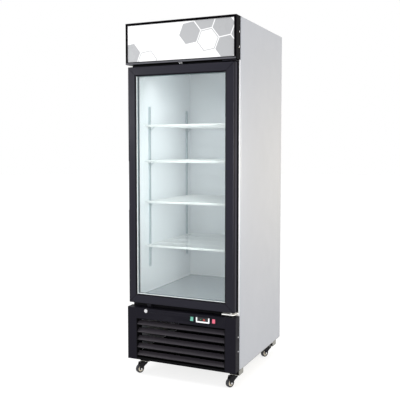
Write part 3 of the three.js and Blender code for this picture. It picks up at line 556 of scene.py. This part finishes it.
def shelf_standard(node):
    """A folded steel standard with a row of clip slots, and bent wire clips under the shelves."""
    low, high = corners(node)
    side = 1 if low.x > 0 else -1
    wall = high.x if side > 0 else low.x
    y = (low.y + high.y) / 2
    front_x = wall - side * STANDARD_DEEP
    bm = new_mesh()
    stations, slots = slot_stations(low.z, high.z)
    columns = (-STANDARD_HALF, -CLIP_SLOT_HALF, CLIP_SLOT_HALF, STANDARD_HALF)
    grid = [[bm.verts.new((front_x, y + c, s)) for c in columns] for s in stations]
    dark = []
    for row in range(len(stations) - 1):
        for col in range(3):
            cell = [grid[row][col], grid[row][col + 1], grid[row + 1][col + 1], grid[row + 1][col]]
            if col == 1 and row in slots:
                inner = [bm.verts.new(v.co + Vector((side * CLIP_SLOT_DEPTH, 0, 0))) for v in cell]
                dark.append(bm.faces.new(inner))
                for k in range(4):
                    n = (k + 1) % 4
                    dark.append(bm.faces.new((cell[k], cell[n], inner[n], inner[k])))
            else:
                bm.faces.new(cell)
    rear = [[bm.verts.new((wall, y + c, s)) for c in (-STANDARD_HALF, STANDARD_HALF)] for s in stations]
    for row in range(len(stations) - 1):
        up = row + 1
        for f, r in ((0, 0), (3, 1)):
            bm.faces.new((grid[row][f], grid[up][f], rear[up][r], rear[row][r]))
        bm.faces.new((rear[row][0], rear[up][0], rear[up][1], rear[row][1]))
    for row in (0, len(stations) - 1):
        bm.faces.new((*grid[row], rear[row][1], rear[row][0]))
    # The slot recess faces get the dark colour: painted shade inside the slots.
    for face in dark:
        face.material_index = 1

    def on_front_corner(edge):
        """Whether an edge is an upright one on the channel's two front corners."""
        first, second = edge.verts[0].co, edge.verts[1].co
        upright = abs(first.z - second.z) > TINY
        at_corner = abs(first.x - front_x) < TINY and abs(abs(first.y - y) - STANDARD_HALF) < TINY
        return upright and at_corner and not any(face in dark for face in edge.link_faces)

    soften(bm, [e for e in sharp_edges(bm.edges) if on_front_corner(e)], 1.6, 3)
    piece(f"{node}_channel", bm, [STANDARD, SLOT_PAINTED_SHADE], "cabinet", [node])

    clips = new_mesh()
    x, bent_x, tip_x = front_x - side * 5.5, front_x - side * 2.4, front_x - side * 1.8
    for i in range(1, 5):
        top = corners(f"shelf_{i}")[0].z - 2
        line = [(x, y - CLIP_HALF, top), (x, y - CLIP_HALF + 1.5, top - 2.5), (bent_x, y - 2, top - 23.5),
                (tip_x, y, top - 24.5), (bent_x, y + 2, top - 23.5), (x, y + CLIP_HALF - 1.5, top - 2.5),
                (x, y + CLIP_HALF, top)]
        add_tube(clips, line, CLIP_ROD, 8)
        add_tube(clips, [(x, y - CLIP_HALF, top - 0.6), (x, y + CLIP_HALF, top - 0.6)], CLIP_BAR_ROD, 8)
    piece(f"{node}_clips", clips, CLIP, "cabinet", sharp=45)


for number in range(1, 5):
    wire_shelf(f"shelf_{number}")
for place_name in ("front_left", "front_right", "rear_left", "rear_right"):
    shelf_standard(f"pilaster_{place_name}")

# A floor tray with turned-up edges lies inside the lining, and a drain boss sits at its back.
LINING = 2.2
TRAY_GAP = 0.4
TRAY_EDGE = [(0, 9), (0.2, 9.6), (1.4, 9.6), (1.6, 9), (2.2, 5), (4.2, 2.2), (7, 1.3), (12, 1.0), (12, 0.05),
             (0, 0.05)]  # inward, up
room_low, room_high = corners("liner")
x, back = room_high.x - LINING - TRAY_GAP, room_high.y - LINING - TRAY_GAP
front, floor = FRONT + 70, room_low.z + LINING
tray = new_mesh()
loops = []
for px, py, sx, sy in ((-x, front, 1, 0), (-x, back, 1, -1), (x, back, -1, -1), (x, front, -1, 0)):
    loops.append([Vector((px + sx * a, py + sy * a, floor + h)) for a, h in TRAY_EDGE])
add_loops(tray, loops)
piece("liner_coving", tray, LINER, "cabinet", sharp=30)
plate = new_mesh()
add_box(plate, (-x + 11.5, front, floor + 0.05), (x - 11.5, back - 11.5, floor + 1.0), 0.3)
piece("liner_floor_sheet", plate, FLOOR_SHEET, "cabinet")
seal = new_mesh()
for low, high in (((-x + 8, front), (-x + 14, back - 8)), ((x - 14, front), (x - 8, back - 8)),
                  ((-x + 14.2, back - 18), (x - 14.2, back - 8))):
    add_box(seal, (*low, floor + 0.6), (*high, floor + 2.0), 0.5)
piece("liner_floor_seal", seal, SEALANT, "cabinet")
boss = new_mesh()
add_lathe(boss, [(0, 5), (9, 5), (12, 3.5), (13, 0)], Matrix.Translation((70, back - 24, floor + 1.0)), 28)
piece("drain_cap", boss, CHROME, "cabinet")

refined("evaporator_housing", LINER, 0.9)
refined("evaporator_coil", COIL, 0.2, 1)
refined("evaporator_fan", BLACK_PLASTIC, 0.3, 1)
refined("interior_lamp", DIFFUSER, 7.0, 5)

GUARD_RINGS = (18, 36, 54, 72, 90, 99)
GUARD_RING_DROP = 3.5
GUARD_SPOKE = ((16, 5.4), (95, 5.4), (103, 4.0), (106, 0.2))  # radius, drop below the housing
GUARD_STEPS = 48
fan_low, fan_high = corners("evaporator_fan")
housing_bottom = corners("evaporator_housing")[0].z
centre = (fan_low + fan_high) / 2


def guard_point(radius, angle, drop):
    return (centre.x + radius * math.cos(angle), centre.y + radius * math.sin(angle), housing_bottom - drop)


guard = new_mesh()
for r in GUARD_RINGS:
    line = [guard_point(r, t * math.pi / (GUARD_STEPS / 2), GUARD_RING_DROP) for t in range(GUARD_STEPS)]
    add_tube(guard, line, 1.2, 8, closed=True)
for k in range(4):
    t = k * math.pi / 2 + math.pi / 4
    add_tube(guard, [guard_point(r, t, drop) for r, drop in GUARD_SPOKE], 1.5, 8)
piece("fan_guard", guard, SHELF_WIRE, "cabinet", sharp=50, weighted=False)


# ---------- header ----------
refined("header_frame", HEADER_BLACK, 1.1, 3)
refined("sign_panel", SIGN, 0.6)
lip_bottom = corners("header_frame")[0].z
# A grey strip under the black header: a painted reflection of the floor.
lip = new_mesh()
add_box(lip, (-SIDE + 3, FRONT - 0.3, lip_bottom + 0.8), (SIDE - 3, FRONT + 0.5, lip_bottom + 9.5), 0.2)
piece("header_lip_painted_reflection", lip, HEADER_LIP_PAINTED_REFLECTION, "cabinet")
refined("sign_lamp", DIFFUSER, 8.0, 5)

CATCH_PROFILE = [(0, -4.0), (5, -4.0), (6, -3.2), (15.5, -3.2), (17, -2.4), (18, -1), (18, 0)]
CATCH_BAR = (9, 1.3)
catch_low, catch_high = corners("sign_catch")
middle = (catch_low + catch_high) / 2
catch = new_mesh()
add_lathe(catch, CATCH_PROFILE, Matrix.Translation((middle.x, middle.y, catch_high.z)), 40)
add_box(catch, (middle.x - CATCH_BAR[0], middle.y - CATCH_BAR[1], catch_high.z - 4.9),
        (middle.x + CATCH_BAR[0], middle.y + CATCH_BAR[1], catch_high.z - 3.0), 0.4)
piece("sign_catch_disc", catch, CHROME, "cabinet", ["sign_catch"])

WINDOW_HALF, WINDOW_LOW, WINDOW_HIGH = 329.0, 1834.0, 2040.0
WINDOW_INSET = 0.4
CELL, PITCH, TILT = 65.0, 118.0, math.radians(-22)
OUTLINE = 5.0
FILM = 0.12
UPPER_CELL, LOWER_CELL = (65.0, 1975.0), (-312.0, 1878.0)


def clipped(points):
    """A polygon cut to the sign's window."""
    half = WINDOW_HALF - WINDOW_INSET
    for axis, sign, limit in ((0, 1, half), (0, -1, half), (1, 1, WINDOW_HIGH - WINDOW_INSET),
                              (1, -1, -(WINDOW_LOW + WINDOW_INSET))):
        kept = []
        for a, b in zip(points, points[1:] + points[:1]):
            da, db = limit - sign * a[axis], limit - sign * b[axis]
            if da >= 0:
                kept.append(a)
            if da * db < 0:
                t = da / (da - db)
                kept.append((a[0] + (b[0] - a[0]) * t, a[1] + (b[1] - a[1]) * t))
        points = kept
        if not points:
            return []
    return points


def cell_points(cx, cz, radius):
    turn = [TILT + math.radians(30 + 60 * k) for k in range(6)]
    return [(cx + radius * math.cos(t), cz + radius * math.sin(t)) for t in turn]


def step(point, u, v):
    """The honeycomb cell u and v steps away."""
    second = TILT + math.radians(60)
    return (point[0] + PITCH * (u * math.cos(TILT) + v * math.cos(second)),
            point[1] + PITCH * (u * math.sin(TILT) + v * math.sin(second)))


film = new_mesh()
on_sign = outward_plane(corners("sign_panel")[0].y)
filled = [UPPER_CELL] + [step(UPPER_CELL, u, v) for u, v in ((0, 1), (1, 1), (2, 0), (2, 1))] + [LOWER_CELL]
shapes = [cell_points(*cell, CELL) for cell in filled]
for cell in (step(UPPER_CELL, 1, 0), step(LOWER_CELL, 1, 0)):
    outer, hole = cell_points(*cell, CELL), cell_points(*cell, CELL - OUTLINE)
    shapes += [[outer[k], outer[(k + 1) % 6], hole[(k + 1) % 6], hole[k]] for k in range(6)]
for shape in map(clipped, shapes):
    if shape:
        add_prism(film, shape, FILM, on_sign)
piece("sign_film", film, PRINT, "cabinet", sharp=20, weighted=False)


# ---------- base ----------
BAFFLE = 1.4
BAFFLE_FRONT, BAFFLE_BACK = FRONT + 32, FRONT + 61
SLAT_HALF = 290
LOCK_SHADE_RING = [(9, 0), (13.5, 0), (14, 0.3), (13.6, 0.6), (9, 0.6)]


def is_slat_top(face):
    slopes_forward = face.normal.z > 0.5 and face.normal.y < -0.3
    return slopes_forward and abs(face.calc_center_median().x) < SLAT_HALF


refined("base_corner_left", BLACK_PANEL, 1.3, 2, 40)
refined("base_corner_right", BLACK_PANEL, 1.3, 2, 40)
refined("base_fascia", BLACK_PANEL, 0.5)
louvre = cad_mesh("louvre_grille")
# Up-facing slat faces get the lighter copy: painted light from above.
paint(louvre, 1, is_slat_top)
soften(louvre, sharp_edges(louvre.edges), 0.5)
louvre_low, louvre_high = corners("louvre_grille")
for x in (louvre_low.x + 0.2, louvre_high.x - 1.6):
    add_box(louvre, (x, BAFFLE_FRONT, louvre_low.z + 3), (x + BAFFLE, BAFFLE_BACK, louvre_high.z - 3), 0.3)
piece("louvre_grille_skin", louvre, [GRILLE_BLACK_AND_PAINTED_SHADE, SLAT_PAINTED_TOP_LIGHT], "cabinet", ["louvre_grille"])
refined("lock_barrel", CHROME, 0.5)
refined("lock_plug", CHROME, 0.25)
# A thin black ring round the lock: painted shade at the lock's hole.
ring = new_mesh()
barrel_low, barrel_high = corners("lock_barrel")
lock_centre = ((barrel_low.x + barrel_high.x) / 2, FRONT - 0.05, (barrel_low.z + barrel_high.z) / 2)
add_lathe(ring, LOCK_SHADE_RING, facing(lock_centre, (0, -1, 0)), 36)
piece("lock_ring_painted_shade", ring, GASKET, "cabinet")

refined("power_switch_housing", BLACK_PLASTIC, 0.6)
refined("lamp_switch_housing", BLACK_PLASTIC, 0.6)
refined("power_rocker", GREEN, 0.9, 3)
refined("lamp_rocker", RED, 0.9, 3)
refined("controller", BLACK_PLASTIC, 0.7)

BEZEL_ARM, BEZEL_EDGE, BEZEL_TOP = 8.5, 0.6, 2
BEZEL_CORNER = (3, 4)
SCREEN_GAP = 0.4
SEGMENTS = {"a": (0, 1, 1, 1), "b": (1, 0.5, 1, 1), "c": (1, 0, 1, 0.5), "d": (0, 0, 1, 0),
            "e": (0, 0, 0, 0.5), "f": (0, 0.5, 0, 1), "g": (0, 0.5, 1, 0.5)}
SEGMENT_HALF, SEGMENT_TRIM = 0.65, 0.4
DIGIT_WIDTH, DIGIT_HEIGHT = 4.2, 8.4

control_low, control_high = corners("controller")
control_y = control_low.y
cx, cz = (control_low.x + control_high.x) / 2, (control_low.z + control_high.z) / 2
half_w, half_h = (control_high.x - control_low.x) / 2, (control_high.z - control_low.z) / 2
left, right, bottom, top = cx - half_w, cx + half_w, cz - half_h, cz + half_h
arm_top, arm_low = top - BEZEL_TOP, bottom + BEZEL_ARM
bezel = new_mesh()
u_shape = [(left + BEZEL_EDGE, arm_top), (left + BEZEL_EDGE, bottom + BEZEL_CORNER[1]),
           (left + BEZEL_CORNER[0], bottom + BEZEL_EDGE), (right - BEZEL_CORNER[0], bottom + BEZEL_EDGE),
           (right - BEZEL_EDGE, bottom + BEZEL_CORNER[1]), (right - BEZEL_EDGE, arm_top),
           (right - BEZEL_ARM, arm_top), (right - BEZEL_ARM, arm_low), (left + BEZEL_ARM, arm_low),
           (left + BEZEL_ARM, arm_top)]
add_prism(bezel, u_shape, 1.1, outward_plane(control_y + 0.2), 0.35)
piece("controller_bezel", bezel, BEZEL, "cabinet")
screen = new_mesh()
add_box(screen, (left + BEZEL_ARM + SCREEN_GAP, control_y - 0.25, arm_low + SCREEN_GAP),
        (right - BEZEL_ARM - SCREEN_GAP, control_y + 0.3, top - 2.2), 0.2)
piece("controller_window", screen, SCREEN, "cabinet")


def add_digit(bm, x0, z0, lit):
    """A seven-segment digit with the named segments lit."""
    for key in lit:
        ax, az, bx, bz = SEGMENTS[key]
        p = (x0 + ax * DIGIT_WIDTH, z0 + az * DIGIT_HEIGHT)
        q = (x0 + bx * DIGIT_WIDTH, z0 + bz * DIGIT_HEIGHT)
        if ax == bx:
            low = (p[0] - SEGMENT_HALF, min(p[1], q[1]) + SEGMENT_TRIM)
            high = (p[0] + SEGMENT_HALF, max(p[1], q[1]) - SEGMENT_TRIM)
        else:
            low = (min(p[0], q[0]) + SEGMENT_TRIM, p[1] - SEGMENT_HALF)
            high = (max(p[0], q[0]) - SEGMENT_TRIM, p[1] + SEGMENT_HALF)
        add_box(bm, (low[0], control_y - 0.42, low[1]), (high[0], control_y - 0.2, high[1]), 0.08, 1)


digits = new_mesh()
add_digit(digits, cx + 2, cz - 3, "abcdg")
add_digit(digits, cx + 9, cz - 3, "acdfg")
piece("controller_digits", digits, DIGIT, "cabinet", weighted=False)
lamp = new_mesh()
add_lathe(lamp, [(0, 0.5), (1.3, 0.4), (1.6, 0)], facing((cx - 13, control_y - 0.2, cz + 2), (0, -1, 0)), 16)
piece("controller_lamp", lamp, SPARK, "cabinet")


# ---------- machine compartment ----------
refined("compressor", SHELL, 1.5, 2, 40)
# The condenser coil is given the black: painted shade inside the machine compartment.
refined("condenser_coil", GRILLE_BLACK_AND_PAINTED_SHADE, 0.2, 1)
refined("fan_shroud", BLACK_PLASTIC, 0.5, 1)
refined("condenser_fan", BLACK_PLASTIC, 0.3, 1)
refined("condensate_pan", BLACK_PLASTIC, 0.8)


# ---------- door ----------
SHADE_LINE_DEPTH = 16  # the outer side is painted dark from the front to here, a painted shadow line
pane_front = corners("glass_front")[0].y
middle_z = sum(c.z for c in corners("glass_front")) / 2
for node in ("door_rail_bottom", "door_rail_top", "door_stile_left", "door_stile_right"):
    bm = cad_mesh(node)
    whole = list(bm.verts) + list(bm.edges) + list(bm.faces)
    shade_line_back = (0, FRONT + SHADE_LINE_DEPTH, 0)
    bmesh.ops.bisect_plane(bm, geom=whole, plane_co=shade_line_back, plane_no=(0, 1, 0), dist=0.001)
    for face in bm.faces:
        spot = face.calc_center_median()
        if "stile" in node:
            inward = -face.normal.x * math.copysign(1, spot.x)
        else:
            inward = -face.normal.z * math.copysign(1, spot.z - middle_z)
        # Faces turned to the glass near the front get the dark copy: painted shade.
        if inward > 0.2 and spot.y < pane_front + 2:
            face.material_index = 1
        # The outer side's front strip gets the dark copy: a painted shadow line.
        if inward < -0.9:
            # The rest of the outer side gets the lighter copy: a painted sheen.
            face.material_index = 1 if spot.y < FRONT + SHADE_LINE_DEPTH else 2
    soften(bm, sharp_edges(bm.edges, 30), 0.45)
    piece(f"{node}_skin", bm, [DOOR_FRAME, DOOR_FRAME_PAINTED_SHADE, DOOR_SIDE_PAINTED_SHEEN], "door", [node])
refined("glass_front", GLASS, 0.4, 1)
refined("glass_rear", GLASS, 0.4, 1)

low, high = corners("glass_spacer")
y0, y1 = low.y, high.y
spacer = new_mesh()
profile = [(0, y0), (11.2, y0), (12, y0 + 0.8), (12, y0 + 5), (11.4, y0 + 5.4), (11.4, y1 - 5.4),
           (12, y1 - 5), (12, y1 - 0.8), (11.2, y1), (0, y1)]
add_ring(spacer, profile, high.x, low.z, high.z)
# Faces behind the front and the whole top bar get the darker copy: painted shade.
for face in spacer.faces:
    spot = face.calc_center_median()
    if spot.y > y0 + 0.1 or spot.z > high.z - 12:
        face.material_index = 1
piece("glass_spacer_bar", spacer, [SPACER_PAINTED_GLOW, SPACER_PAINTED_SHADE], "door", ["glass_spacer"], 25)

low, high = corners("door_gasket")
y0, y1 = low.y, high.y
gasket = new_mesh()
profile = [(3, y0), (16, y0), (16, y0 + 3), (12, y0 + 4.5), (18.5, y0 + 8), (19, y0 + 9.5), (14, y0 + 12),
           (19, y0 + 15), (19, y1 - 0.6), (18, y1), (1, y1), (0, y1 - 0.6), (0, y0 + 15), (4.5, y0 + 12),
           (0, y0 + 9.5), (0.5, y0 + 8), (6, y0 + 4.5), (3, y0 + 3)]
add_ring(gasket, profile, high.x, low.z, high.z)
piece("door_gasket_bellows", gasket, GASKET, "door", ["door_gasket"], 25)


# ---------- hinge brackets ----------
HINGE_SCREWS = ((276, FRONT + 40), (300, FRONT + 50), (324, FRONT + 50))
HINGE_SCREW_Z = 428.0
refined("hinge_bracket_bottom", NICKEL, 0.7)
refined("hinge_bracket_top", BLACK_PANEL, 0.7)
screws = new_mesh()
for x, y in HINGE_SCREWS:
    add_screw(screws, (x, y, HINGE_SCREW_Z), (0, 0, 1), 4.0, 2.2, x)
piece("hinge_screws", screws, CHROME, "cabinet")


# ---------- casters ----------
TRAIL = Vector((-15.0, -30.0, 0.0))  # from the stem to the axle
HEADING = math.atan2(TRAIL.y, TRAIL.x) - math.pi / 2
REACH = TRAIL.length
LEG_X, LEG_THICK, LEG_TOP = (11.2, -13.6), 2.4, 63.0
CROWN_Z, CROWN_THICK = 60.2, 4.0
CROWN = [(-13.6, -16), (-9, -18.5), (9, -18.5), (13.6, -16), (13.6, REACH + 2.5), (9, REACH + 5),
         (-9, REACH + 5), (-13.6, REACH + 2.5)]
RACE = [(0, 61), (15, 61), (19, 62.5), (19.4, 64.5), (17.6, 65.4), (17.6, 66.2), (19.4, 67), (19.4, 69)]
AXLE_HALF, AXLE_RADIUS = 13, 3.9
WHEEL_HALF, TREAD_ROUND, TYRE_BORE = 10.0, 3.2, 16.5
HUB_FACE = [(16.4, 1.0), (15.4, 0.4), (14.4, 1.4), (13.4, 3.6), (8.6, 3.8), (7.6, 1.0), (6.6, 0.3),
            (4.4, 0.3)]  # radius, depth
PLATE_BOLTS = ((-12, -19), (12, -19), (-12, 30), (12, 30))
PLATE_BOLT_Z = 71.0


def leg_outline(axle_z):
    """A fork leg's side view: a round eye at the axle that widens up to the bearing plate."""
    angles = [math.radians(a) for a in range(-170, 11, 15)]
    eye = [(REACH + 9 * math.cos(a), axle_z + 8.5 * math.sin(a)) for a in angles]
    front = [(REACH + 9, axle_z + 6), (REACH + 8.2, axle_z + 14), (REACH + 6, axle_z + 24),
             (REACH + 2, LEG_TOP)]
    back = [(-15, LEG_TOP), (-15.5, LEG_TOP - 5), (-13, LEG_TOP - 11), (-5, LEG_TOP - 16), (6, LEG_TOP - 22),
            (15, LEG_TOP - 30), (20, axle_z + 1)]
    return eye + front + back


def add_bolt(bm, point, axis, radius, height):
    """A hexagon bolt head with rounded edges."""
    angles = [math.radians(60 * k) for k in range(6)]
    flat = [(radius * math.cos(a), radius * math.sin(a)) for a in angles]
    add_prism(bm, flat, height, facing(point, axis), radius * 0.14)


for place_name in ("front_left", "front_right", "rear_left", "rear_right"):
    fork, wheel = f"caster_fork_{place_name}", f"caster_wheel_{place_name}"
    wheel_low, wheel_high = corners(wheel)
    hub = (wheel_low + wheel_high) / 2
    stem = hub - TRAIL
    top = corners(fork)[1].z
    local = Matrix.Translation((stem.x, stem.y, 0)) @ Matrix.Rotation(HEADING, 4, "Z")
    radius = (wheel_high.z - wheel_low.z) / 2

    bm = new_mesh()
    for x in LEG_X:
        sideways = local @ Matrix(((0, 0, 1, x), (1, 0, 0, 0), (0, 1, 0, 0), (0, 0, 0, 1)))
        add_prism(bm, leg_outline(hub.z), LEG_THICK, sideways, 0.7)
    add_prism(bm, CROWN, CROWN_THICK, local @ Matrix.Translation((0, 0, CROWN_Z)), 0.9)
    add_lathe(bm, RACE + [(18, top), (0, top)], local, 40)
    piece(f"{fork}_frame", bm, BLACK_PLASTIC, fork, [fork], 35)

    bolts = new_mesh()
    for sign in (-1, 1):
        spot = local @ Vector((sign * 13.6, REACH, hub.z))
        add_bolt(bolts, spot, (local.to_3x3() @ Vector((sign, 0, 0))), 5.6, 3.4)
    axle_line = [local @ Vector((x, REACH, hub.z)) for x in (-AXLE_HALF, AXLE_HALF)]
    add_tube(bolts, axle_line, AXLE_RADIUS, 16)
    piece(f"{fork}_axle", bolts, CHROME, fork, sharp=35)

    matrix = local @ Matrix.Translation((0, REACH, hub.z)) @ Matrix.Rotation(math.pi / 2, 4, "Y")
    tyre = new_mesh()
    round_tread = []
    for s, span in ((-1, range(-90, 1, 15)), (1, range(0, 91, 15))):
        for a in map(math.radians, span):
            round_tread.append((radius - TREAD_ROUND + TREAD_ROUND * math.cos(a),
                                (WHEEL_HALF - TREAD_ROUND) * s + TREAD_ROUND * math.sin(a)))
    section = [(TYRE_BORE, -WHEEL_HALF + 0.6), (TYRE_BORE + 1, -WHEEL_HALF)] + round_tread
    section += [(TYRE_BORE + 1, WHEEL_HALF), (TYRE_BORE, WHEEL_HALF - 0.6)]
    add_lathe(tyre, section + section[:1], matrix, 56)
    piece(f"{wheel}_tyre", tyre, TYRE, wheel, [wheel], 35)
    core = new_mesh()
    left_face = [(r, -WHEEL_HALF + depth) for r, depth in HUB_FACE]
    section = left_face + [(r, -h) for r, h in reversed(left_face)]
    add_lathe(core, section + section[:1], matrix, 48)
    piece(f"{wheel}_core", core, HUB, wheel, sharp=35)

    plate_bolts = new_mesh()
    channel_shift = 6 if stem.x > 0 else 8
    for dx, dy in PLATE_BOLTS:
        add_bolt(plate_bolts, (stem.x + dx + channel_shift, stem.y + dy, PLATE_BOLT_Z), (0, 0, -1), 4.6, 2.6)
    piece(f"caster_bolts_{place_name}", plate_bolts, CHROME, "cabinet", sharp=35)


# ---------- stage, light and camera ----------
FLOOR_RADIUS_M = 30
WARM, COOL = (1.0, 0.84, 0.55), (1.0, 0.99, 1.0)
# name, place and aim in metres, size in metres, power, colour, spread in degrees
SOFT_LIGHTS = (
    ("softbox_top", (0.2, -1.4, 4.4), (0, 0, 0.8), (3.4, 2.6), 40, (1, 1, 1), 180),
    ("softbox_right", (1.36, 0.4, 1.25), (0.34, 0.1, 1.15), (0.6, 0.5), 7, WARM, 180),
    ("softbox_left", (-2.55, -3.5, 1.85), (-0.3, -0.4, 1.3), (0.7, 0.7), 22, (1, 1, 1), 180),
    ("softbox_high", (-2.3, -1.6, 3.2), (-0.2, -0.4, 0.25), (0.9, 0.9), 30, (1, 1, 1), 180),
    ("door_fill", (0.95, -1.15, 1.2), (0.05, -0.72, 1.2), (0.25, 0.9), 3.8, (1, 1, 1), 70),
    ("softbox_front", (2.6, -3.4, 2.0), (-0.2, 0.1, 1.1), (1.6, 2.2), 42, (1, 1, 1), 180),
    ("cabinet_lamp", (0, -0.25, 1.79), (0, 0.15, 1.0), (0.46, 0.03), 0.65, COOL, 110),
)
LENS, SENSOR = 58.1, 36
SHIFT = (-0.0165, -0.0265)
CAMERA_PLACE = (1.62635, -3.63661, 1.33549)
CAMERA_DEGREES = (90 - 3.559, -0.04, 24.209)

ground = bmesh.new()
bmesh.ops.create_circle(ground, cap_ends=True, radius=FLOOR_RADIUS_M, segments=96)
floor_mesh = bpy.data.meshes.new("floor")
ground.to_mesh(floor_mesh)
ground.free()
floor_mesh.materials.append(STUDIO_FLOOR)
floor_object = bpy.data.objects.new("floor", floor_mesh)
scene.collection.objects.link(floor_object)

world = bpy.data.worlds.new("studio")
world.use_nodes = True
world.node_tree.nodes["Background"].inputs["Color"].default_value = (1.0, 1.0, 1.0, 1)
world.node_tree.nodes["Background"].inputs["Strength"].default_value = 1.0
scene.world = world

for name, place, aim, size, power, color, spread_degrees in SOFT_LIGHTS:
    data = bpy.data.lights.new(name, "AREA")
    data.shape = "RECTANGLE"
    data.size, data.size_y = size
    data.energy = power
    data.color = color
    data.spread = math.radians(spread_degrees)
    light = bpy.data.objects.new(name, data)
    light.location = place
    light.rotation_euler = (Vector(aim) - Vector(place)).to_track_quat("-Z", "Y").to_euler()
    scene.collection.objects.link(light)

camera_data = bpy.data.cameras.new("camera")
camera_data.lens = LENS
camera_data.sensor_width = SENSOR
camera_data.shift_x, camera_data.shift_y = SHIFT
camera = bpy.data.objects.new("camera", camera_data)
camera.location = CAMERA_PLACE
camera.rotation_euler = [math.radians(a) for a in CAMERA_DEGREES]
scene.collection.objects.link(camera)
scene.camera = camera
scene.view_settings.view_transform = "Standard"
